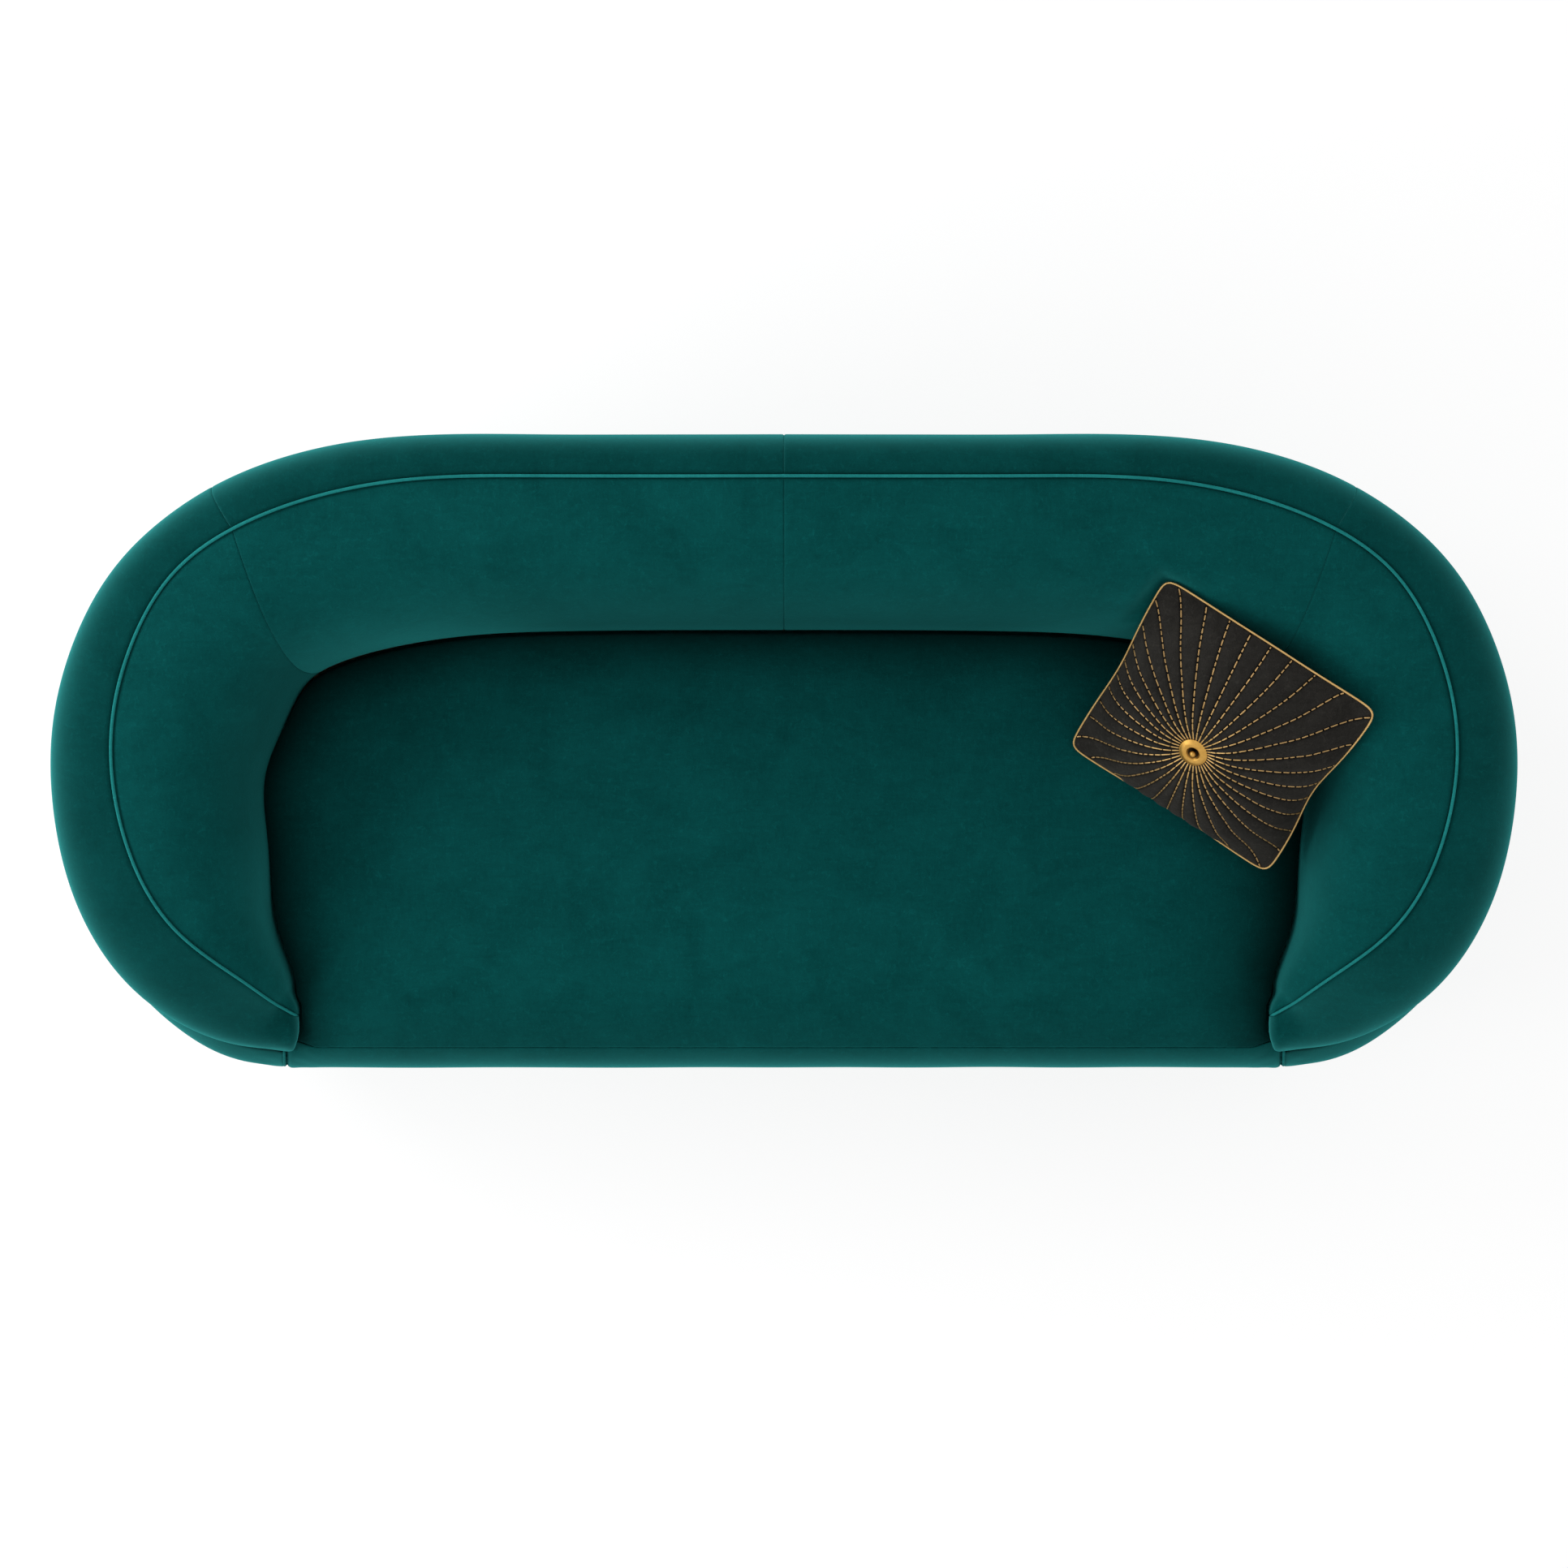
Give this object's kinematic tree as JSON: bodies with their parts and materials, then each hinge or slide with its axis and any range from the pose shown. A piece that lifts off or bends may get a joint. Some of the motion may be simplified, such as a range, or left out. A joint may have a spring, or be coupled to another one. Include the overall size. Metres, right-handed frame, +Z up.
{
  "type": "curved sofa",
  "caption": "Curved tub sofa with rounded arms that sweep down to the seat, a bench seat, crest piping, a recessed plinth and a tufted scatter cushion.",
  "frame": {"origin": "on the floor, under the middle of the sofa's bounding box", "axes": "+X to the right as seen from the front, +Y towards the back, +Z up"},
  "size_m": [2.3926, 1.0611, 0.7786],
  "materials": {
    "teal_velvet": "short-pile velvet, deep teal, with a paler sheen where it turns away",
    "teal_welt": "velvet cut on the bias over a piping cord",
    "charcoal_velvet": "short-pile velvet, charcoal",
    "gold_cord": "satin gold braided piping",
    "gold_metal": "brushed gold",
    "birch_plywood": "sawn and sanded, bare",
    "pine": "planed, bare",
    "stained_plinth": "dark stain, satin lacquer",
    "jute_webbing": "woven jute strap",
    "dust_cloth": "spun black bottoming cloth",
    "glide_nylon": "moulded nylon"
  },
  "bodies": {
    "sofa": {"arm_crest_pad_left": "teal_velvet", "arm_crest_pad_right": "teal_velvet", "arm_inside_pad_left": "teal_velvet", "arm_inside_pad_right": "teal_velvet", "arm_outer_panel_left": "teal_velvet", "arm_outer_panel_right": "teal_velvet", "back_crest_pad_left": "teal_velvet", "back_crest_pad_right": "teal_velvet", "back_inside_pad_left": "teal_velvet", "back_inside_pad_right": "teal_velvet", "back_outer_panel_left": "teal_velvet", "back_outer_panel_right": "teal_velvet", "back_rail": "pine", "base_board_left": "birch_plywood", "base_board_right": "birch_plywood", "crest_piping": "teal_welt", "crest_rail_left": "birch_plywood", "crest_rail_right": "birch_plywood", "deck_ring_left": "birch_plywood", "deck_ring_right": "birch_plywood", "dust_cover": "dust_cloth", "front_border": "teal_velvet", "front_rail": "pine", "front_welt_left": "teal_welt", "front_welt_right": "teal_welt", "glide_back_left": "glide_nylon", "glide_back_right": "glide_nylon", "glide_front_left": "glide_nylon", "glide_front_right": "glide_nylon", "glide_side_left": "glide_nylon", "glide_side_right": "glide_nylon", "inner_board_left": "birch_plywood", "inner_board_right": "birch_plywood", "outer_board_left": "birch_plywood", "outer_board_right": "birch_plywood", "plinth_front": "stained_plinth", "plinth_left": "stained_plinth", "plinth_right": "stained_plinth", "rib_left_1": "birch_plywood", "rib_left_2": "birch_plywood", "rib_left_3": "birch_plywood", "rib_left_4": "birch_plywood", "rib_left_5": "birch_plywood", "rib_right_1": "birch_plywood", "rib_right_2": "birch_plywood", "rib_right_3": "birch_plywood", "rib_right_4": "birch_plywood", "rib_right_5": "birch_plywood", "seat_pad": "teal_velvet", "seat_webbing": "jute_webbing", "stretcher_left": "pine", "stretcher_right": "pine"},
    "loose_cushion": {"scatter_cushion": "charcoal_velvet", "cushion_piping": "gold_cord", "cushion_disc": "gold_metal", "cushion_button": "gold_metal"}
  },
  "joints": [
    {"name": "cushion_lift", "type": "slide", "parent": "sofa", "child": "loose_cushion", "axis": [0, 0, 1], "range_m": [0, 0.4]}
  ]
}
